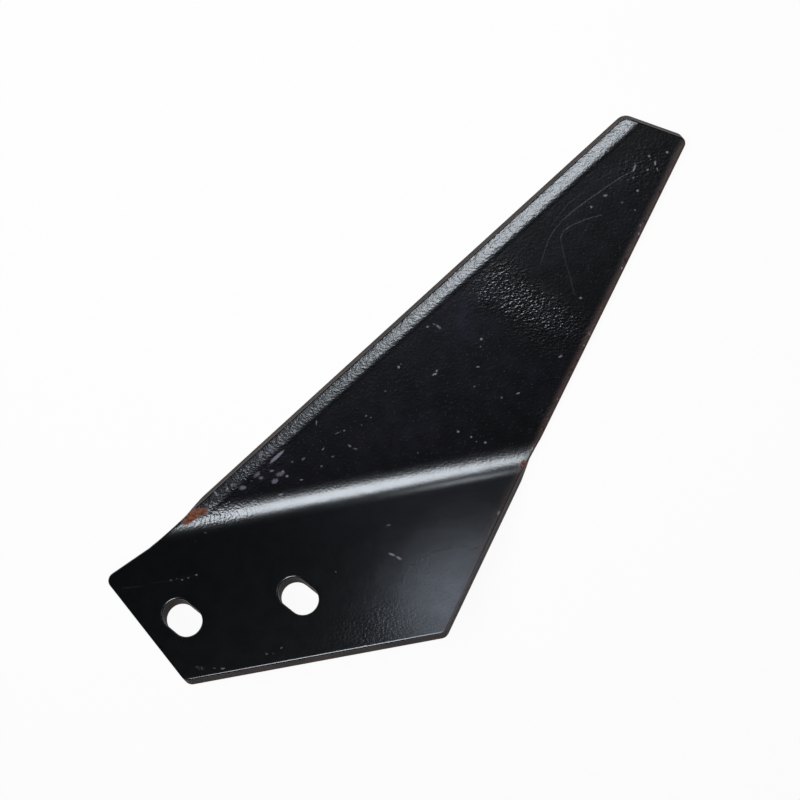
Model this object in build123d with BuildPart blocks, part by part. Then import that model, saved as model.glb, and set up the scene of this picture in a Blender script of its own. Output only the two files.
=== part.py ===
"""Share blade: a steel plate folded once, with a bolting flange and a bevelled cutting edge.

The plate is described as its flat blank. In the blank, x runs along the fold line and
s is the distance from the middle of the fold, positive in the blade and negative in the
flange. The blade lies flat with its underside on z = 0 and the flange rises behind it.
All sizes are millimetres and degrees.
"""

from build123d import *
from math import cos, radians, sin, tan
import os

os.makedirs("parts", exist_ok=True)

# Plate and fold
plate_thickness = 8.0
fold_angle = 45.0
fold_radius = 18.0
arris = 0.7

# Straight edges of the blank: where each crosses the fold line, and its angle to it
cutting_edge_x = -88.1
cutting_edge_angle = 32.1
back_edge_x = 71.2
back_edge_angle = 55.4
shoulder_x = -80.7
shoulder_angle = 25.9

# Neck, where the shoulder turns into the cutting edge just before the fold
neck_angle = 34.6
neck_lead = 0.7
neck_radius = 14.0

# Blade
blade_reach = 125.2
tip_angle = 30.8
tip_front_radius = 5.0
tip_back_radius = 3.0
bevel_width = 5.6
bevel_depth = 2.0
bevel_fade = 0.7

# Flange
flange_reach = 71.7
shoulder_reach = 19.7
side_angle = 59.1
flange_corner_radius = 3.8

# Bolt slots, centred on a line along the fold
slot_width = 13.0
slot_travel = 6.0
slot_pitch = 51.0
slot_angle = 48.5
slot_row_s = -43.9
first_slot_x = -88.5

# Fold zone, measured along the middle of the plate's thickness
fold_run = radians(fold_angle) * (fold_radius + plate_thickness / 2)
half_fold = fold_run / 2
fold_centre_z = plate_thickness + fold_radius
fold_steps = 6
fold_margin = 2.0


def ease(f):
    """Smooth step from 0 to 1."""
    return 3 * f**2 - 2 * f**3


def edge_x(x_at_fold, angle, s):
    """Place along the fold line of a straight edge of the blank, at distance s."""
    return x_at_fold + s / tan(radians(angle))


def neck_x(f):
    """Front outline inside the fold at share f of its run: a smooth curve from blade to flange."""
    blade_slope = fold_run / tan(radians(cutting_edge_angle))
    flange_slope = fold_run / tan(radians(neck_angle))
    blend = front_at_blade[0] + (front_at_flange[0] - front_at_blade[0]) * ease(f)
    return blend - blade_slope * f * (1 - f) ** 2 + flange_slope * f**2 * (1 - f)


def fold_plane(turn):
    """Plane across the plate where the fold has turned by an angle, with y out of its top."""
    around = radians(turn)
    outer = fold_radius + plate_thickness
    return Plane(
        origin=(0, -outer * sin(around), fold_centre_z - outer * cos(around)),
        x_dir=(1, 0, 0),
        z_dir=(0, -cos(around), sin(around)),
    )


def fold_section(f):
    """Outline across the fold at share f of its run, from blade to flange, past both faces."""
    front = neck_x(f)
    back = edge_x(back_edge_x, back_edge_angle, half_fold - f * fold_run)
    fade = ease(min(1, f / bevel_fade))
    front_cut = bevel_depth + (arris - bevel_depth) * fade
    wide_end = bevel_width / sin(radians(cutting_edge_angle))
    narrow_end = arris / sin(radians(neck_angle))
    front_slope = (wide_end + (narrow_end - wide_end) * fade) / front_cut
    back_slope = 1 / sin(radians(back_edge_angle))
    above = plate_thickness + fold_margin
    return [
        (front, -fold_margin),
        (back, -fold_margin),
        (back, plate_thickness - arris),
        (back - back_slope * (arris + fold_margin), above),
        (front + front_slope * (front_cut + fold_margin), above),
        (front, plate_thickness - front_cut),
    ]


# Corners of the blank's blade
tip_back = (edge_x(back_edge_x, back_edge_angle, blade_reach), blade_reach)
tip_width = (tip_back[0] - edge_x(cutting_edge_x, cutting_edge_angle, blade_reach)) / (
    cos(radians(tip_angle)) + sin(radians(tip_angle)) / tan(radians(cutting_edge_angle))
)
tip_front = (
    tip_back[0] - tip_width * cos(radians(tip_angle)),
    tip_back[1] + tip_width * sin(radians(tip_angle)),
)
front_at_blade = (edge_x(cutting_edge_x, cutting_edge_angle, half_fold), half_fold)
back_at_blade = (edge_x(back_edge_x, back_edge_angle, half_fold), half_fold)

# Corners of the blank's flange
neck = (edge_x(shoulder_x, shoulder_angle, -half_fold - neck_lead), -half_fold - neck_lead)
front_at_flange = (neck[0] + neck_lead / tan(radians(neck_angle)), -half_fold)
back_at_flange = (edge_x(back_edge_x, back_edge_angle, -half_fold), -half_fold)
shoulder_end = (edge_x(shoulder_x, shoulder_angle, -shoulder_reach), -shoulder_reach)
side_end = (
    shoulder_end[0] + (flange_reach - shoulder_reach) / tan(radians(side_angle)),
    -flange_reach,
)
heel = (edge_x(back_edge_x, back_edge_angle, -flange_reach), -flange_reach)

# Where the flat parts and the bevel lie
flange_plane = Plane(
    origin=fold_plane(fold_angle).origin,
    x_dir=(1, 0, 0),
    z_dir=(0, sin(radians(fold_angle)), cos(radians(fold_angle))),
)
flange_out = Axis(flange_plane.origin, flange_plane.z_dir)
flange_up_to_fold = Axis(flange_plane.origin, flange_plane.y_dir)
bevel_plane = Plane(
    origin=(front_at_blade[0], 0, 0),
    x_dir=(-sin(radians(cutting_edge_angle)), cos(radians(cutting_edge_angle)), 0),
    z_dir=(cos(radians(cutting_edge_angle)), sin(radians(cutting_edge_angle)), 0),
)

# Blade, from the fold to the tip, with the bevel along its cutting edge
with BuildPart() as blade:
    with BuildSketch(Plane.XY):
        with BuildLine():
            blade_corners = [front_at_blade, tip_front, tip_back, back_at_blade]
            Polyline(*[(x, s - half_fold) for x, s in blade_corners], close=True)
        make_face()
        fillet(vertices().sort_by(Axis.Y)[-1], tip_front_radius)
        fillet(vertices().sort_by(Axis.X)[-1], tip_back_radius)
    extrude(amount=plate_thickness)
    blade_rim = faces().sort_by(Axis.Z)[-1].edges().sort_by(Axis.Y)[1:]
    chamfer(blade_rim, arris)
    with BuildSketch(bevel_plane):
        with BuildLine():
            Polyline(
                (-bevel_width, plate_thickness),
                (bevel_width, plate_thickness - 2 * bevel_depth),
                (bevel_width, 2 * plate_thickness),
                (-bevel_width, 2 * plate_thickness),
                close=True,
            )
        make_face()
    extrude(amount=2 * blade_reach, both=True, mode=Mode.SUBTRACT)

# Flange, from the fold to its lower edge, with the two bolt slots
with BuildPart() as flange:
    with BuildSketch(flange_plane):
        with BuildLine():
            flange_corners = [front_at_flange, neck, shoulder_end, side_end, heel, back_at_flange]
            Polyline(*[(x, s + half_fold) for x, s in flange_corners], close=True)
        make_face()
        fillet(vertices().sort_by(Axis.X)[0], flange_corner_radius)
        fillet(vertices().sort_by(Axis.Y)[:2], flange_corner_radius)
        fillet(vertices().sort_by_distance((neck[0], neck[1] + half_fold))[0], neck_radius)
        slot_places = [(first_slot_x + i * slot_pitch, slot_row_s + half_fold) for i in range(2)]
        with Locations(*slot_places):
            SlotOverall(
                slot_width + slot_travel, slot_width, rotation=-slot_angle, mode=Mode.SUBTRACT
            )
    extrude(amount=plate_thickness)
    flange_rim = faces().sort_by(flange_out)[-1].edges().sort_by(flange_up_to_fold)[:-1]
    chamfer(flange_rim, arris)

# Fold between them: a round bend whose ends follow the outline of the blank
with BuildPart() as fold:
    with BuildSketch(Plane.YZ):
        with BuildLine():
            inner = CenterArc((0, fold_centre_z), fold_radius, -90 - fold_angle, fold_angle)
            outer = CenterArc(
                (0, fold_centre_z), fold_radius + plate_thickness, -90 - fold_angle, fold_angle
            )
            Line(inner @ 0, outer @ 0)
            Line(inner @ 1, outer @ 1)
        make_face()
    extrude(amount=max(-front_at_flange[0], back_at_blade[0]) + fold_margin, both=True)
    for step in range(fold_steps + 1):
        with BuildSketch(fold_plane(fold_angle * step / fold_steps)):
            with BuildLine():
                Polyline(*fold_section(step / fold_steps), close=True)
            make_face()
    loft(mode=Mode.INTERSECT)

# The one piece, joined and set with the middle of its footprint on the origin
with BuildPart() as joined:
    add([blade.part, fold.part, flange.part])

footprint = joined.part.bounding_box()
with BuildPart() as share_blade:
    with Locations((-footprint.center().X, -footprint.center().Y, -footprint.min.Z)):
        add(joined.part)

share_blade.part.label = "share_blade"
export_step(share_blade.part, "parts/share_blade.step")
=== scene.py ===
"""Share blade: a folded steel plate in worn black paint, lying on a pale floor.

The plate's skin is laid out on its flat blank, then folded. In the blank, x runs along
the fold line and s away from it, positive in the blade and negative in the flange, and
height is measured up from the underside. These are millimetres; the scene is in metres.
"""

import bpy
import math
import random
import numpy as np
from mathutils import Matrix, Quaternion, Vector, noise
from mathutils.geometry import delaunay_2d_cdt
from mathutils.kdtree import KDTree


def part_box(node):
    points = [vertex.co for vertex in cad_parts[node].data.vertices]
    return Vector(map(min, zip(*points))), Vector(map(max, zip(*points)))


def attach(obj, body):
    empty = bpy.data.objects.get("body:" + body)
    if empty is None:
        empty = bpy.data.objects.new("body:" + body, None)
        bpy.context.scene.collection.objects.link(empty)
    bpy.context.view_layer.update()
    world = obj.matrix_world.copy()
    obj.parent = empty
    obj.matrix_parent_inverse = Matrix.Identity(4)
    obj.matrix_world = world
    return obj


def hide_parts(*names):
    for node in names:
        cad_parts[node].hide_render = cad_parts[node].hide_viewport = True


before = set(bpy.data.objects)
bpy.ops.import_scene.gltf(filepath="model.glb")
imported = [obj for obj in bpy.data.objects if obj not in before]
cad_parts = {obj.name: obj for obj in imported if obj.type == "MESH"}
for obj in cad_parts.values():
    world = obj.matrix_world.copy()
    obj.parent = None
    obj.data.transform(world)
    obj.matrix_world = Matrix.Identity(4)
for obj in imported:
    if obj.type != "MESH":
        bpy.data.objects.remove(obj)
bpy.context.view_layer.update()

MM = 0.001

# The plate, with the same sizes as the solid it stands for
plate_thickness = 8.0
fold_angle = math.radians(45.0)
fold_radius = 18.0
arris = 0.7
cutting_edge_x = -88.1
cutting_edge_angle = math.radians(32.1)
back_edge_x = 71.2
back_edge_angle = math.radians(55.4)
shoulder_x = -80.7
shoulder_angle = math.radians(25.9)
neck_angle = math.radians(34.6)
neck_lead = 0.7
neck_radius = 14.0
blade_reach = 125.2
tip_angle = math.radians(30.8)
tip_front_radius = 5.0
tip_back_radius = 3.0
flange_reach = 71.7
shoulder_reach = 19.7
side_angle = math.radians(59.1)
flange_corner_radius = 3.8
slot_width = 13.0
slot_travel = 6.0
slot_pitch = 51.0
slot_angle = math.radians(48.5)
slot_row_s = -43.9
first_slot_x = -88.5

# The bevel along the cutting edge: it starts gently and steepens to a blunt nose
bevel_width = 5.6
bevel_depth = 1.65
bevel_start_share = 0.53
bevel_start_round = 0.15
bevel_fade = 0.7
nose_round = 0.45

fold_run = fold_angle * (fold_radius + plate_thickness / 2)
half_fold = fold_run / 2

# Fineness of the mesh
outline_pitch = 0.8
top_pitch = 0.8
under_pitch = 1.7


def ease(f):
    """Smooth step from 0 to 1."""
    f = min(1.0, max(0.0, f))
    return 3 * f**2 - 2 * f**3


def edge_x(x_at_fold, angle, s):
    """Place along the fold line of a straight edge of the blank, at distance s."""
    return x_at_fold + s / math.tan(angle)


def corner_points(before, corner, after, radius):
    """Points round a corner of the blank with the given radius."""
    a = (before - corner).normalized()
    b = (after - corner).normalized()
    half = a.angle(b) / 2
    centre = corner + (a + b).normalized() * (radius / math.sin(half))
    start = corner + a * (radius / math.tan(half)) - centre
    end = corner + b * (radius / math.tan(half)) - centre
    turn = start.angle_signed(end)
    count = max(4, math.ceil(abs(turn) * radius / outline_pitch * 1.6))
    made = []
    for i in range(count + 1):
        angle = -turn * i / count
        made.append(
            centre
            + Vector(
                (
                    start.x * math.cos(angle) - start.y * math.sin(angle),
                    start.x * math.sin(angle) + start.y * math.cos(angle),
                )
            )
        )
    return made


def divided(points, pitch):
    """The closed line through the points, with its long runs divided."""
    made = []
    for i, here in enumerate(points):
        there = points[(i + 1) % len(points)]
        length = (there - here).length
        if length < 0.02:
            continue
        steps = max(1, round(length / pitch))
        made += [here.lerp(there, k / steps) for k in range(steps)]
    return made


# Corners of the blank
tip_back = Vector((edge_x(back_edge_x, back_edge_angle, blade_reach), blade_reach))
tip_width = (tip_back.x - edge_x(cutting_edge_x, cutting_edge_angle, blade_reach)) / (
    math.cos(tip_angle) + math.sin(tip_angle) / math.tan(cutting_edge_angle)
)
tip_front = tip_back + tip_width * Vector((-math.cos(tip_angle), math.sin(tip_angle)))
front_at_blade = Vector((edge_x(cutting_edge_x, cutting_edge_angle, half_fold), half_fold))
neck_s = -half_fold - neck_lead
neck = Vector((edge_x(shoulder_x, shoulder_angle, neck_s), neck_s))
front_at_flange = Vector((neck.x + neck_lead / math.tan(neck_angle), -half_fold))
shoulder_end = Vector((edge_x(shoulder_x, shoulder_angle, -shoulder_reach), -shoulder_reach))
side_run = (flange_reach - shoulder_reach) / math.tan(side_angle)
side_end = Vector((shoulder_end.x + side_run, -flange_reach))
heel = Vector((edge_x(back_edge_x, back_edge_angle, -flange_reach), -flange_reach))


def neck_x(f):
    """Front outline inside the fold, at share f from blade to flange."""
    blade_slope = fold_run / math.tan(cutting_edge_angle)
    flange_slope = fold_run / math.tan(neck_angle)
    blend = front_at_blade.x + (front_at_flange.x - front_at_blade.x) * ease(f)
    return blend - blade_slope * f * (1 - f) ** 2 + flange_slope * f**2 * (1 - f)


def outline():
    """The blank's outline, anticlockwise."""
    points = corner_points(tip_back, tip_front, front_at_blade, tip_front_radius)
    for i in range(25):
        f = i / 24
        points.append(Vector((neck_x(f), half_fold - f * fold_run)))
    points += corner_points(front_at_flange, neck, shoulder_end, neck_radius)
    points += corner_points(neck, shoulder_end, side_end, flange_corner_radius)
    points += corner_points(shoulder_end, side_end, heel, flange_corner_radius)
    points += corner_points(side_end, heel, tip_back, flange_corner_radius)
    points += corner_points(heel, tip_back, tip_front, tip_back_radius)
    return divided(points, outline_pitch)


def slot_outline(index):
    """A bolt slot's outline, clockwise, so that the metal is on the same side as outside."""
    centre = Vector((first_slot_x + index * slot_pitch, slot_row_s))
    along = Vector((math.cos(slot_angle), -math.sin(slot_angle)))
    across = Vector((-along.y, along.x))
    points = []
    for side in (1, -1):
        for i in range(17):
            turn = math.pi * (0.5 - i / 16)
            arm = along * (side * (slot_travel / 2 + slot_width / 2 * math.cos(turn)))
            points.append(centre + arm + across * (side * slot_width / 2 * math.sin(turn)))
    return divided(points, outline_pitch)


def inward(line):
    """Unit normals of a closed line, into the metal."""
    made = []
    for i, here in enumerate(line):
        along = line[(i + 1) % len(line)] - line[i - 1]
        made.append(Vector((-along.y, along.x)).normalized())
    return made


def bevel_drop(x, s):
    """How far the bevel lies below the plate's top."""
    if s < -half_fold:
        return 0.0
    f = max(0.0, (half_fold - s) / fold_run)
    front = neck_x(f) if f > 0 else edge_x(cutting_edge_x, cutting_edge_angle, s)
    fade = ease(f / bevel_fade)
    wide = bevel_width / math.sin(cutting_edge_angle)
    narrow = arris / math.sin(neck_angle)
    inner = 1 - (x - front) / (wide + (narrow - wide) * fade)
    if inner <= 0:
        return 0.0
    inner = min(1.0, inner)
    start = inner - bevel_start_round / 2
    if inner < bevel_start_round:
        start = inner**2 / (2 * bevel_start_round)
    rise = bevel_start_share * start + (1 - bevel_start_share) * inner**2
    return bevel_depth * (1 - fade) * rise


def arris_drop(inset, size):
    """How far a rounded arris lies below the face at some distance in from the outline."""
    if inset >= size:
        return 0.0
    return size * (1 - math.sqrt(max(0.0, 1 - (1 - inset / size) ** 2)))


def top_height(x, s, inset):
    """Height of the plate's upper face."""
    bevelled = bevel_drop(x, s)
    size = arris + (nose_round - arris) * min(1.0, bevelled / 1.2)
    wave = noise.noise(Vector((x * 0.11, s * 0.11, 3.0)))
    ripple = noise.noise(Vector((x * 0.42, s * 0.42, 9.0)))
    uneven = 0.03 * wave + 0.010 * ripple
    return plate_thickness - bevelled - arris_drop(inset, size) + uneven


def folded(x, s, height):
    """Place of a point of the blank once the plate is folded."""
    reach = fold_radius + plate_thickness - height
    top = fold_radius + plate_thickness
    if s >= half_fold:
        return (x, s - half_fold, height)
    if s > -half_fold:
        turn = (half_fold - s) / (fold_radius + plate_thickness / 2)
        return (x, -reach * math.sin(turn), top - reach * math.cos(turn))
    down = s + half_fold
    return (
        x,
        -reach * math.sin(fold_angle) + down * math.cos(fold_angle),
        top - reach * math.cos(fold_angle) - down * math.sin(fold_angle),
    )


def inside(points, line):
    """Which points lie inside a closed line."""
    x, y = points[:, 0], points[:, 1]
    found = np.zeros(len(points), bool)
    for i in range(len(line)):
        a, b = line[i - 1], line[i]
        if a.y == b.y:
            continue
        crosses = (a.y > y) != (b.y > y)
        found ^= crosses & (x < (b.x - a.x) * (y - a.y) / (b.y - a.y) + a.x)
    return found


# Wear, placed on the blank: lines are (half width, strength, points)
scratches = [
    (
        0.30,
        0.55,
        [(133, 117), (128, 115.4), (121, 112.4), (115, 109.6), (108, 106.2), (102, 102.6)],
    ),
    (0.30, 0.45, [(102, 102.6), (98, 99.2), (95, 95.6), (92.5, 91), (90.5, 87)]),
    (0.26, 0.22, [(128, 120), (119, 116.4), (112, 112.4), (106, 109.4), (101, 105.4), (97, 101)]),
    (0.30, 0.60, [(118, 101.6), (111, 101), (105, 99.6), (101.6, 98), (100, 95.4)]),
    (0.28, 0.45, [(100, 95.4), (100, 90), (100.5, 84), (101.3, 77), (101.7, 70)]),
    (0.30, 0.20, [(-113, -25.8), (-109, -26.2), (-105, -26.4)]),
    (0.28, 0.12, [(-100, -26), (-92, -26.5), (-80, -26.2)]),
]

# Pale scuffs and bare spots: (x, s, half length, half width, turn in degrees, strength)
scuffs = [
    (-36.6, 23.6, 4.4, 0.75, 33, 1.0),
    (-66.8, 11.6, 1.3, 0.40, -65, 1.0),
    (-47.0, 17.2, 2.2, 1.0, 30, 0.5),
    (-45.5, 15.3, 1.3, 0.9, 0, 0.5),
    (-40.2, 17.6, 1.0, 0.6, 0, 0.6),
    (-37.0, 15.4, 2.2, 1.2, 10, 0.5),
    (-40.0, 12.6, 1.8, 1.2, 20, 0.6),
    (-35.6, 16.3, 0.7, 0.6, 0, 0.9),
    (-34.3, 13.8, 0.7, 0.6, 0, 0.9),
    (-54.5, 12.4, 1.8, 1.1, 0, 0.6),
    (-61.5, 12.5, 1.4, 0.7, 20, 0.4),
    (-58.9, 14.2, 1.0, 0.6, 50, 0.5),
    (-49.8, 21.2, 0.8, 0.5, 10, 0.6),
    (-52.2, 20.0, 0.7, 0.5, 10, 0.6),
    (-43.4, 25.6, 1.7, 0.8, 60, 0.5),
    (-38.6, 27.5, 2.4, 1.4, 20, 0.28),
    (-25.6, 20.2, 1.1, 0.6, 30, 0.5),
    (-30.6, 19.9, 0.6, 0.5, 80, 0.5),
    (-16.4, 35.6, 1.3, 0.35, 75, 0.7),
    (-26.6, 33.3, 0.7, 0.5, 0, 0.9),
    (-33.6, 32.0, 0.8, 0.5, 20, 0.8),
    (-32.6, 29.0, 0.6, 0.5, 0, 0.7),
    (-8.6, 29.1, 1.4, 0.35, 15, 0.5),
    (-5.4, 29.6, 0.6, 0.4, 15, 0.6),
    (-16.2, 23.1, 0.9, 0.4, 40, 0.6),
    (-4.6, 22.2, 0.9, 0.5, -50, 0.6),
    (-2.6, 20.4, 1.2, 0.4, -20, 0.5),
    (-12.8, 18.8, 1.0, 0.4, 10, 0.5),
    (-18.6, 15.4, 0.7, 0.5, 0, 0.5),
    (-28.6, 10.9, 0.9, 0.4, -10, 0.6),
    (-39.0, 5.2, 1.2, 0.6, 0, 0.6),
    (-51.2, 4.6, 0.8, 0.5, 0, 0.5),
    (23.3, 53.3, 0.6, 0.55, 0, 1.0),
    (24.6, 54.4, 0.4, 0.3, 0, 0.6),
    (37.6, 47.0, 1.1, 0.45, 10, 1.0),
    (38.8, 48.3, 0.6, 0.4, 40, 0.8),
    (43.4, 67.4, 1.5, 0.6, -50, 0.6),
    (38.8, 68.4, 0.8, 0.5, 10, 0.6),
    (41.8, 69.0, 0.8, 0.4, -20, 0.5),
    (60.0, 58.5, 0.6, 0.55, 0, 1.0),
    (59.2, 55.2, 0.4, 0.35, 0, 0.8),
    (56.4, 46.6, 0.9, 0.4, -15, 0.7),
    (15.5, 43.8, 0.5, 0.4, 0, 0.6),
    (53.3, 38.2, 0.4, 0.3, 0, 0.9),
    (71.0, 31.3, 0.9, 0.35, 10, 1.0),
    (63.8, 30.8, 0.6, 0.5, 0, 0.6),
    (42.6, 19.2, 0.6, 0.55, 0, 1.0),
    (47.7, 15.6, 0.6, 0.5, 0, 0.8),
    (53.2, 11.8, 0.6, 0.55, 0, 1.0),
    (49.5, 13.0, 0.4, 0.35, 0, 0.7),
    (23.7, 13.0, 0.5, 0.5, 0, 0.5),
    (91.6, 44.1, 1.0, 0.45, 20, 0.8),
    (104.1, 67.9, 0.6, 0.5, 0, 0.9),
    (5.2, 34.4, 0.6, 0.4, 30, 0.6),
    (7.0, 33.2, 0.5, 0.4, 0, 0.6),
    (2.4, 30.6, 0.5, 0.4, 0, 0.4),
    (134.4, 118.0, 1.7, 0.4, 60, 1.0),
    (141.0, 121.6, 0.5, 0.5, 0, 1.0),
    (148.4, 121.7, 0.55, 0.5, 0, 1.0),
    (143.0, 118.3, 0.9, 0.4, 80, 1.0),
    (139.6, 116.2, 0.6, 0.4, 40, 0.9),
    (143.4, 115.6, 0.8, 0.3, 100, 0.8),
    (133.4, 114.0, 0.8, 0.4, 80, 0.5),
    (134.3, 108.4, 0.55, 0.5, 0, 1.0),
    (121.0, 109.1, 0.8, 0.45, 0, 0.9),
    (114.6, 105.5, 0.5, 0.5, 0, 0.9),
    (133.3, 93.7, 0.5, 0.5, 0, 0.9),
    (127.4, 104.8, 0.8, 0.35, -20, 0.5),
    (132.0, 100.6, 0.5, 0.4, 0, 0.6),
    (5.3, -20.0, 1.3, 0.7, 0, 0.35),
    (29.0, -22.2, 2.2, 1.0, 10, 0.16),
    (4.9, -33.4, 1.6, 0.5, -35, 0.8),
    (7.6, -35.5, 1.5, 0.6, -40, 0.7),
    (-20.1, -36.5, 0.5, 0.5, 0, 0.4),
    (53.2, -23.8, 1.1, 0.6, 60, 0.8),
    (-54.0, -66.6, 0.8, 0.5, -30, 0.4),
    (-51.2, -67.0, 0.5, 0.4, 0, 0.3),
    (-47.4, -65.2, 0.7, 0.4, 10, 0.4),
    (-73.2, -69.4, 1.1, 0.45, 0, 0.5),
    (-77.0, -68.6, 1.0, 0.4, -20, 0.3),
    (-83.0, -67.4, 2.6, 1.0, -25, 0.25),
    (-91.8, -26.3, 0.7, 0.4, 0, 0.4),
    (-89.2, -26.0, 0.5, 0.4, 0, 0.4),
    (-86.9, -27.1, 0.6, 0.4, 0, 0.5),
    (-84.2, -26.7, 0.6, 0.4, 0, 0.45),
    (-80.4, -26.0, 0.6, 0.5, 0, 0.55),
    (-64.9, -27.0, 0.6, 0.5, 0, 0.2),
    (-100.2, -23.4, 0.5, 0.4, 0, 0.25),
    (-74.6, -7.2, 0.8, 0.7, 0, 0.3),
    (-79.4, -10.6, 0.9, 0.5, 40, 0.25),
]

# Areas with soft limits: (x, s, half length, half width, turn in degrees, strength)
rusty = [
    (-79.5, 2.6, 6.2, 2.6, 33, 1.0),
    (-74.0, 4.0, 3.4, 3.0, 20, 0.7),
    (-84.0, -1.4, 2.4, 1.2, 40, 0.5),
    (-72.0, 7.6, 2.0, 1.0, 20, 0.5),
    (67.6, -2.6, 2.2, 1.4, 60, 0.8),
    (-86.0, -66.6, 2.0, 1.4, 30, 0.35),
]
wrinkled = [
    (84.0, 67.0, 27.0, 10.0, -38, 1.0),
    (72.0, 80.0, 13.0, 12.0, 0, 0.8),
    (88.0, 54.0, 18.0, 9.0, -30, 0.45),
    (138.0, 117.0, 13.0, 8.0, 30, 0.4),
    (-50.0, 16.0, 24.0, 7.0, 25, 0.5),
    (80.0, 18.0, 7.0, 5.0, 55, 0.5),
]
# Painted sheen: the lighter purplish patches on the blade and the pale patch on the flange's lower
# corner are reflected light painted into the colour; the flange patch is also made rougher
painted_sheen_areas = [
    (56.0, 71.0, 12.0, 12.0, 0, 1.0),
    (78.0, 37.0, 14.0, 8.0, 10, 0.35),
    (28.0, 27.0, 44.0, 22.0, 20, 0.30),
    (-38.0, 22.0, 28.0, 10.0, 30, 0.30),
    (112.0, 96.0, 18.0, 12.0, 45, 0.12),
    (28.0, -58.0, 22.0, 20.0, 0, 1.0),
]
peeled = [
    (-1.0, -64.0, 26.0, 11.0, 8, 1.0),
    (22.0, -58.0, 16.0, 18.0, 0, 0.7),
    (-68.0, 1.5, 13.0, 7.0, 0, 1.0),
]


lines = [outline(), slot_outline(0), slot_outline(1)]
normals = [inward(line) for line in lines]
rim_tree = KDTree(sum(len(line) for line in lines))
for place, point in enumerate(p for line in lines for p in line):
    rim_tree.insert((point.x, point.y, 0), place)
rim_tree.balance()


def grid(pitch, margin):
    """Points spread evenly over the blank, in from its outline."""
    spread = random.Random(7)
    points = []
    low = Vector((min(p.x for p in lines[0]), min(p.y for p in lines[0])))
    high = Vector((max(p.x for p in lines[0]), max(p.y for p in lines[0])))
    row = 0
    y = low.y
    while y < high.y:
        x = low.x + (row % 2) * pitch / 2
        while x < high.x:
            shift = (spread.uniform(-0.12, 0.12) * pitch, spread.uniform(-0.12, 0.12) * pitch)
            points.append((x + shift[0], y + shift[1]))
            x += pitch
        y += pitch * 0.866
        row += 1
    points = np.array(points)
    keep = inside(points, lines[0]) & ~inside(points, lines[1]) & ~inside(points, lines[2])
    points = points[keep]
    return [p for p in points if rim_tree.find((p[0], p[1], 0))[2] > margin]


def turned(points, x, s, turn):
    """Points seen from a mark's own centre, along and across it."""
    rest = points - np.array([x, s])
    c, d = math.cos(math.radians(turn)), math.sin(math.radians(turn))
    return rest[:, 0] * c + rest[:, 1] * d, rest[:, 1] * c - rest[:, 0] * d


def spots(points, marks, power):
    """Strength at each point of marks that fade towards their limits."""
    made = np.zeros(len(points))
    for x, s, long, wide, turn, strength in marks:
        along, across = turned(points, x, s, turn)
        far = (along / long) ** 2 + (across / wide) ** 2
        made = np.maximum(made, strength * np.exp(-(far**power)))
    return made


def runs(points, marks):
    """Strength at each point of scratches."""
    made = np.zeros(len(points))
    for wide, strength, path in marks:
        for a, b in zip(path, path[1:]):
            a, b = np.array(a, float), np.array(b, float)
            share = np.clip((points - a) @ (b - a) / ((b - a) @ (b - a)), 0, 1)
            far = np.linalg.norm(points - a - share[:, None] * (b - a), axis=1)
            made = np.maximum(made, strength * np.clip(1.4 - far / wide, 0, 1))
    return made


def mark_points():
    """Finer points of the upper face, on and beside each mark."""
    made = []
    for wide, _, path in scratches:
        for a, b in zip(path, path[1:]):
            a, b = Vector(a), Vector(b)
            side = Vector((a.y - b.y, b.x - a.x)).normalized()
            steps = math.ceil((b - a).length / 0.45)
            for k in range(steps):
                here = a.lerp(b, k / steps)
                made += [here + side * wide * share for share in (-1.5, -0.6, 0.0, 0.6, 1.5)]
    for x, s, long, wide, turn, _ in scuffs:
        axis = Vector((math.cos(math.radians(turn)), math.sin(math.radians(turn))))
        side = Vector((-axis.y, axis.x))
        across = max(1, round(wide / 0.25))
        along = max(1, round(long / 0.35))
        for i in range(-along - 1, along + 2):
            for k in range(-across - 1, across + 2):
                made.append(Vector((x, s)) + axis * long * i / along + side * wide * k / across)
    return made


def thinned(points, gap):
    """The points, without those that lie closer than the gap to one before them."""
    kept = {}
    for point in points:
        cell = (math.floor(point.x / gap), math.floor(point.y / gap))
        near = [kept.get((cell[0] + i, cell[1] + k)) for i in (-1, 0, 1) for k in (-1, 0, 1)]
        if all(other is None or (other - point).length >= gap for other in near):
            kept[cell] = point
    return list(kept.values())


# Rows of the rim, from the underside round the wall to the upper face
under_rows = [(0.9, 0.0), (0.35, 0.03), (0.1, 0.14), (0.0, 0.42)]
wall_shares = [0.25, 0.5, 0.75, 1.0]
top_insets = [0.06, 0.18, 0.4, 0.7, 1.15]

blank_points = []
sides = []
faces = []
wall_faces = set()
first_rows = []
last_rows = []
for line, normal in zip(lines, normals):
    rows = []
    row_sides = [-1.0] * (len(under_rows) - 1) + [0.0] * (len(wall_shares) + 1)
    row_sides += [1.0] * len(top_insets)
    for inset, height in under_rows:
        rows.append([(p + n * inset, height) for p, n in zip(line, normal)])
    base = under_rows[-1][1]
    for share in wall_shares:
        tops = [top_height(p.x, p.y, 0.0) for p in line]
        rows.append([(p, base + (h - base) * share) for p, h in zip(line, tops)])
    for inset in top_insets:
        row = []
        for p, n in zip(line, normal):
            q = p + n * inset
            row.append((q, top_height(q.x, q.y, inset)))
        rows.append(row)
    starts = []
    for row, side in zip(rows, row_sides):
        starts.append(len(blank_points))
        blank_points += [(q.x, q.y, h) for q, h in row]
        sides += [side] * len(row)
    count = len(line)
    for row, (low, high) in enumerate(zip(starts, starts[1:])):
        for i in range(count):
            k = (i + 1) % count
            if row_sides[row] == 0 and row_sides[row + 1] == 0:
                wall_faces.add(len(faces))
            faces.append((low + i, low + k, high + k, high + i))
    first_rows.append((starts[0], count))
    last_rows.append((starts[-1], count))


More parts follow.
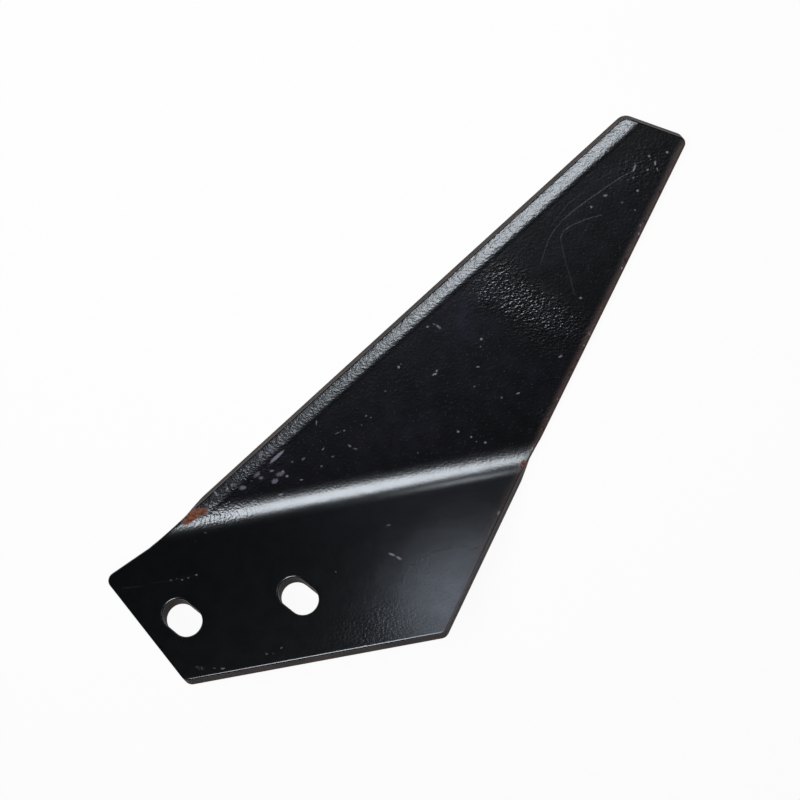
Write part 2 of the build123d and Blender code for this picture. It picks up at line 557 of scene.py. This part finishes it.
def fill(rows, points, height, side):
    """Covers the blank between the given closed rows with small triangles."""
    plan = []
    source = []
    edges = []
    for start, count in rows:
        base = len(plan)
        for i in range(count):
            plan.append(Vector(blank_points[start + i][:2]))
            source.append(start + i)
            edges.append((base + i, base + (i + 1) % count))
    for x, y in points:
        source.append(len(blank_points))
        blank_points.append((x, y, height(x, y)))
        sides.append(side)
        plan.append(Vector((x, y)))
    made = delaunay_2d_cdt(plan, edges, [], 0, 1e-6, True)
    names = [source[ids[0]] for ids in made[3]]
    centres = np.array([sum((made[0][i] for i in tri), Vector((0, 0))) / 3 for tri in made[2]])
    rings = [[Vector(blank_points[start + i][:2]) for i in range(n)] for start, n in rows]
    keep = inside(centres, rings[0]) & ~inside(centres, rings[1]) & ~inside(centres, rings[2])
    for tri, kept in zip(made[2], keep):
        if kept:
            ordered = tri if side > 0 else tri[::-1]
            faces.append(tuple(names[i] for i in ordered))


marked = [
    point
    for point in thinned(mark_points(), 0.12)
    if rim_tree.find((point.x, point.y, 0))[2] > top_insets[-1] + 0.15
]
mark_tree = KDTree(len(marked))
for place, point in enumerate(marked):
    mark_tree.insert((point.x, point.y, 0), place)
mark_tree.balance()
top_points = [tuple(point) for point in marked]
for x, y in grid(top_pitch, top_insets[-1] + 0.45):
    if mark_tree.find((x, y, 0))[2] > 0.45:
        top_points.append((x, y))
fill(
    last_rows,
    top_points,
    lambda x, s: top_height(x, s, plate_thickness),
    1.0,
)
fill(first_rows, grid(under_pitch, under_rows[0][0] + 0.8), lambda x, s: 0.0, -1.0)

places = np.array([folded(*point) for point in blank_points])
low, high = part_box("share_blade")
places *= MM
places += np.array((low + high) / 2) - (places.min(0) + places.max(0)) / 2

skin = bpy.data.meshes.new("share_blade_skin")
skin.from_pydata(places.tolist(), [], faces)
skin.update()
flat = np.array(blank_points)[:, :2]
upper = np.clip(np.array(sides), 0, 1)


def fronts(s):
    """Place of the front edge along the fold line at distance s, over the blade and fold."""
    if s >= half_fold:
        return edge_x(cutting_edge_x, cutting_edge_angle, s)
    return neck_x(min(1.0, (half_fold - s) / fold_run))


lead = [(x - fronts(s)) * math.sin(cutting_edge_angle) for x, s in flat]
trail = [(edge_x(back_edge_x, back_edge_angle, s) - x) * math.sin(back_edge_angle) for x, s in flat]
inset = [rim_tree.find((x, s, 0))[2] for x, s in flat]


def keep_on_points(name, kind, values):
    """Stores values on the skin's points for the material to read."""
    layer = skin.attributes.new(name, kind, "POINT")
    field = "value" if kind == "FLOAT" else "vector"
    layer.data.foreach_set(field, np.array(values, np.float32).ravel())


keep_on_points("blank", "FLOAT_VECTOR", blank_points)
keep_on_points("side", "FLOAT", sides)
keep_on_points("edges", "FLOAT_VECTOR", np.stack([lead, trail, inset], 1))
keep_on_points(
    "marks",
    "FLOAT_VECTOR",
    np.stack([runs(flat, scratches) * upper, spots(flat, scuffs, 2) * upper, spots(flat, rusty, 1)], 1),
)
keep_on_points(
    "zones",
    "FLOAT_VECTOR",
    np.stack([spots(flat, wrinkled, 1.5), spots(flat, painted_sheen_areas, 1), spots(flat, peeled, 1)], 1),
)
for polygon in skin.polygons:
    polygon.use_smooth = True
    polygon.material_index = 1 if polygon.index in wall_faces else 0
piece = bpy.data.objects.new("share_blade_skin", skin)
bpy.context.scene.collection.objects.link(piece)
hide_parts("share_blade")
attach(piece, "root")
print("triangles", sum(len(f) - 2 for f in faces))


class Nodes:
    """Short ways to add nodes to a tree and to join them."""

    def __init__(self, owner):
        owner.use_nodes = True
        self.tree = owner.node_tree

    def join(self, value, socket):
        if isinstance(value, bpy.types.NodeSocket):
            self.tree.links.new(value, socket)
        else:
            socket.default_value = value

    def add(self, kind, inputs=None, **settings):
        node = self.tree.nodes.new("ShaderNode" + kind)
        for name, value in settings.items():
            setattr(node, name, value)
        for name, value in (inputs or {}).items():
            self.join(value, node.inputs[name])
        return node

    def math(self, operation, *values):
        node = self.add("Math", dict(enumerate(values)), operation=operation)
        return node.outputs[0]

    def total(self, *values):
        made = values[0]
        for value in values[1:]:
            made = self.math("ADD", made, value)
        return made

    def times(self, *values):
        made = values[0]
        for value in values[1:]:
            made = self.math("MULTIPLY", made, value)
        return made

    def ramp(self, value, low, high):
        """0 up to low, then smoothly to 1 at high; high may be below low."""
        reverse = high < low
        ends = {0: value, 1: min(low, high), 2: max(low, high)}
        ends.update({3: 1.0, 4: 0.0} if reverse else {3: 0.0, 4: 1.0})
        return self.add("MapRange", ends, interpolation_type="SMOOTHSTEP").outputs[0]

    def parts(self, name):
        """A stored vector's three values, and the vector itself."""
        read = self.add("Attribute", attribute_name=name)
        split = self.add("SeparateXYZ", {0: read.outputs["Vector"]})
        return (*split.outputs, read.outputs["Vector"])

    def noise(self, vector, scale, detail=2.0, roughness=0.5):
        inputs = {"Vector": vector, "Scale": scale, "Detail": detail, "Roughness": roughness}
        return self.add("TexNoise", inputs).outputs[0]

    def blend(self, share, below, above):
        node = self.add("Mix", {0: share, 6: below, 7: above}, data_type="RGBA")
        return node.outputs[2]

    def between(self, share, below, above):
        return self.add("Mix", {0: share, 2: below, 3: above}).outputs[0]


def turned_place(n, vector, turn, scale):
    """The blank's coordinates turned and stretched, for marks that run one way."""
    inputs = {"Vector": vector, "Rotation": (0, 0, math.radians(turn)), "Scale": scale}
    return n.add("Mapping", inputs).outputs[0]


def black_paint():
    """Thin black enamel on rolled steel: orange peel, scuffs, scratches and rust, with painted glints,
    painted sheen and painted shade on the flange.
    """
    made = bpy.data.materials.new("worn_black_paint")
    n = Nodes(made)
    shader = made.node_tree.nodes["Principled BSDF"]
    x, s, height, place = n.parts("blank")
    lead, trail, inset, _ = n.parts("edges")
    scratch, scuff, rust, _ = n.parts("marks")
    wrinkle, painted_sheen_mask, peel, _ = n.parts("zones")
    side = n.add("Attribute", attribute_name="side").outputs["Fac"]

    top = n.ramp(side, 0.2, 0.9)
    blade = n.ramp(s, -6.0, 6.0)
    band = n.times(n.ramp(lead, 7.4, 5.4), blade, top)
    cloud = n.noise(place, 0.035, 3.0)
    patch = n.noise(place, 0.16, 3.0)
    fine = n.noise(place, 2.4, 2.0)
    lump = n.noise(place, 0.85, 1.0)
    along = turned_place(n, place, -cutting_edge_turn, (0.55, 1.0, 1.0))
    hammer = n.noise(along, 1.05, 1.0)
    drawn = turned_place(n, place, -32.0, (0.6, 1.0, 1.0))
    crinkle = n.noise(drawn, 1.1, 1.0)

    # Relief, in millimetres
    relief = n.total(
        n.times(fine, n.between(blade, 0.006, 0.016)),
        n.times(lump, n.between(blade, 0.010, 0.060)),
        n.times(hammer, band, 0.15),
        n.times(fine, band, 0.03),
        n.times(crinkle, wrinkle, blade, 0.34),
        n.times(lump, peel, 0.14),
        n.times(scratch, -0.05),
        n.times(scuff, 0.03),
    )
    bump = n.add("Bump", {"Strength": 1.0, "Distance": MM, "Height": relief})

    # Colour
    base = n.blend(n.ramp(cloud, 0.35, 0.65), (0.0011, 0.0011, 0.0017, 1), (0.0026, 0.0023, 0.0038, 1))
    # Painted shade: the flange gets a darker copy of the blade's paint
    colour = n.blend(blade, (0.0007, 0.0009, 0.0012, 1), base)
    # Painted sheen: lighter purplish patches on the blade stand in for reflected glow
    painted_blade_sheen = n.times(painted_sheen_mask, n.ramp(patch, 0.3, 0.7), blade)
    colour = n.blend(painted_blade_sheen, colour, (0.0075, 0.0062, 0.0160, 1))
    # Painted reflection: a pale patch on the flange's lower corner stands in for reflected glow, and
    # the same area is made rougher
    dulled_and_painted_glow = n.times(painted_sheen_mask, n.ramp(blade, 1.0, 0.0), top)
    painted_flange_glow = n.times(dulled_and_painted_glow, n.between(n.ramp(patch, 0.3, 0.7), 0.8, 1.0))
    colour = n.blend(painted_flange_glow, colour, (0.070, 0.080, 0.105, 1))
    # Painted glints: small pale specks, thickest in the wrinkled paint, stand in for light caught by
    # the paint's ripples
    cells = n.add("TexVoronoi", {"Vector": place, "Scale": 0.85}, voronoi_dimensions="2D")
    chance = n.add("SeparateColor", {0: cells.outputs["Color"]})
    often = n.total(n.between(blade, -0.05, 0.12), n.times(wrinkle, 0.25))
    chosen = n.ramp(n.total(chance.outputs[0], often), 0.97, 1.0)
    round_spot = n.ramp(cells.outputs["Distance"], 0.30, 0.08)
    painted_glint = n.times(round_spot, chosen, n.ramp(chance.outputs[1], 0.0, 1.0), top)
    colour = n.blend(painted_glint, colour, (0.034, 0.030, 0.046, 1))
    broken = n.ramp(n.noise(place, 1.3, 2.0), 0.30, 0.60)
    colour = n.blend(n.times(scratch, n.between(broken, 0.35, 1.0)), colour, (0.042, 0.042, 0.050, 1))
    ragged = n.ramp(n.total(scuff, n.times(n.noise(place, 1.9, 2.0), 0.7)), 0.45, 1.15)
    colour = n.blend(n.times(ragged, n.ramp(scuff, 0.02, 0.2)), colour, (0.150, 0.140, 0.185, 1))

    # Rubbed and rusting back edge, and rust
    rubbed = n.times(n.ramp(n.total(trail, n.times(patch, 1.8)), 5.0, 0.7), n.between(n.ramp(s, -14.0, 8.0), 0.35, 1.0), top)
    colour = n.blend(rubbed, colour, (0.060, 0.031, 0.026, 1))
    eaten = n.ramp(n.total(rust, n.times(n.noise(place, 0.55, 4.0), 0.8)), 0.72, 1.02)
    rust_colour = n.blend(n.ramp(n.noise(place, 0.7, 3.0), 0.35, 0.62), (0.040, 0.008, 0.006, 1), (0.200, 0.052, 0.012, 1))
    colour = n.blend(n.times(eaten, n.ramp(rust, 0.04, 0.2)), colour, rust_colour)
    n.join(colour, shader.inputs["Base Color"])

    gloss = n.total(n.between(blade, 0.19, 0.24), n.times(patch, 0.06), n.times(band, 0.03))
    rough = n.between(n.math("MAXIMUM", ragged, rubbed), gloss, 0.50)
    rough = n.between(dulled_and_painted_glow, rough, 0.42)
    rough = n.between(eaten, rough, 0.85)
    n.join(rough, shader.inputs["Roughness"])
    shader.inputs["IOR"].default_value = 1.65
    shader.inputs["Specular Tint"].default_value = (0.86, 0.93, 1.0, 1)
    n.join(bump.outputs[0], shader.inputs["Normal"])
    return made


def cut_wall():
    """The cut wall of the plate: thin dull paint over rough, slightly rusty steel."""
    made = bpy.data.materials.new("dull_cut_edge")
    n = Nodes(made)
    shader = made.node_tree.nodes["Principled BSDF"]
    x, s, height, place = n.parts("blank")
    patch = n.noise(place, 0.12, 3.0)
    fine = n.noise(turned_place(n, place, 0.0, (1.0, 1.0, 0.25)), 1.6, 3.0)
    colour = n.blend(n.ramp(patch, 0.35, 0.65), (0.022, 0.016, 0.015, 1), (0.060, 0.038, 0.030, 1))
    colour = n.blend(n.times(n.ramp(fine, 0.55, 0.75), 0.5), colour, (0.110, 0.085, 0.075, 1))
    n.join(colour, shader.inputs["Base Color"])
    n.join(n.between(fine, 0.55, 0.85), shader.inputs["Roughness"])
    shader.inputs["Specular IOR Level"].default_value = 0.2
    bump = n.add("Bump", {"Strength": 1.0, "Distance": MM, "Height": n.times(fine, 0.12)})
    n.join(bump.outputs[0], shader.inputs["Normal"])
    return made


cutting_edge_turn = math.degrees(cutting_edge_angle)
skin.materials.append(black_paint())
skin.materials.append(cut_wall())

# Floor
bpy.ops.mesh.primitive_plane_add(size=6)
floor = bpy.context.object
floor.name = "floor"
ground = bpy.data.materials.new("pale_floor")
g = Nodes(ground)
matt = g.add("BsdfDiffuse", {"Color": (0.86, 0.86, 0.86, 1)})
white = g.add("Emission", {"Color": (1, 1, 1, 1), "Strength": 1.0})
path = g.add("LightPath")
viewed = g.math("MAXIMUM", path.outputs["Is Camera Ray"], path.outputs["Is Glossy Ray"])
both = g.add("MixShader", {0: g.times(viewed, 0.94), 1: matt.outputs[0], 2: white.outputs[0]})
g.join(both.outputs[0], ground.node_tree.nodes["Material Output"].inputs["Surface"])
floor.data.materials.append(ground)

# Camera, where the photograph was taken from
camera_place = Vector((41.82, 231.39, 651.35)) * MM
camera_aim = Vector((2.61, -3.54, 8.0)) * MM
camera_roll = math.radians(177.94)
camera_lens = 72.07
eye = bpy.data.cameras.new("camera")
eye.lens = camera_lens
eye.sensor_width = 36.0
eye.clip_start = 0.01
camera = bpy.data.objects.new("camera", eye)
camera.location = camera_place
camera.rotation_mode = "QUATERNION"
aimed = (camera_aim - camera_place).to_track_quat("-Z", "Y")
camera.rotation_quaternion = aimed @ Quaternion((0, 0, 1), camera_roll)
bpy.context.scene.collection.objects.link(camera)
bpy.context.scene.camera = camera


def lamp(name, place, aim, size, power, shape="DISK"):
    """A soft lamp at a place in metres, turned to its aim."""
    data = bpy.data.lights.new(name, "AREA")
    data.shape = shape
    data.size = size
    data.energy = power
    made = bpy.data.objects.new(name, data)
    made.location = place
    made.rotation_mode = "QUATERNION"
    made.rotation_quaternion = (Vector(aim) - Vector(place)).to_track_quat("-Z", "Y")
    bpy.context.scene.collection.objects.link(made)
    return made


lamp("key", Vector((-93, 234, 701)) * MM, camera_aim, 0.36, 4.8)
lamp("side", Vector((16, 219, 220)) * MM, Vector((4, -82, 50)) * MM, 0.06, 0.05)

# A dim studio with one soft pale side, and white where the camera sees it
world = bpy.data.worlds.new("studio")
bpy.context.scene.world = world
room = Nodes(world)
toward = room.add("TexCoord").outputs["Generated"]
pale_side = Vector((0.10, 0.88, 0.46)).normalized()
facing = room.add("VectorMath", {0: toward, 1: pale_side}, operation="DOT_PRODUCT").outputs["Value"]
lit = room.ramp(facing, math.cos(math.radians(15.0)), math.cos(math.radians(6.0)))
light = room.blend(lit, (0.024, 0.024, 0.027, 1), (0.12, 0.12, 0.14, 1))
seen = room.add("LightPath").outputs["Is Camera Ray"]
light = room.blend(seen, light, (1, 1, 1, 1))
room.join(light, world.node_tree.nodes["Background"].inputs["Color"])

bpy.context.scene.view_settings.view_transform = "Standard"
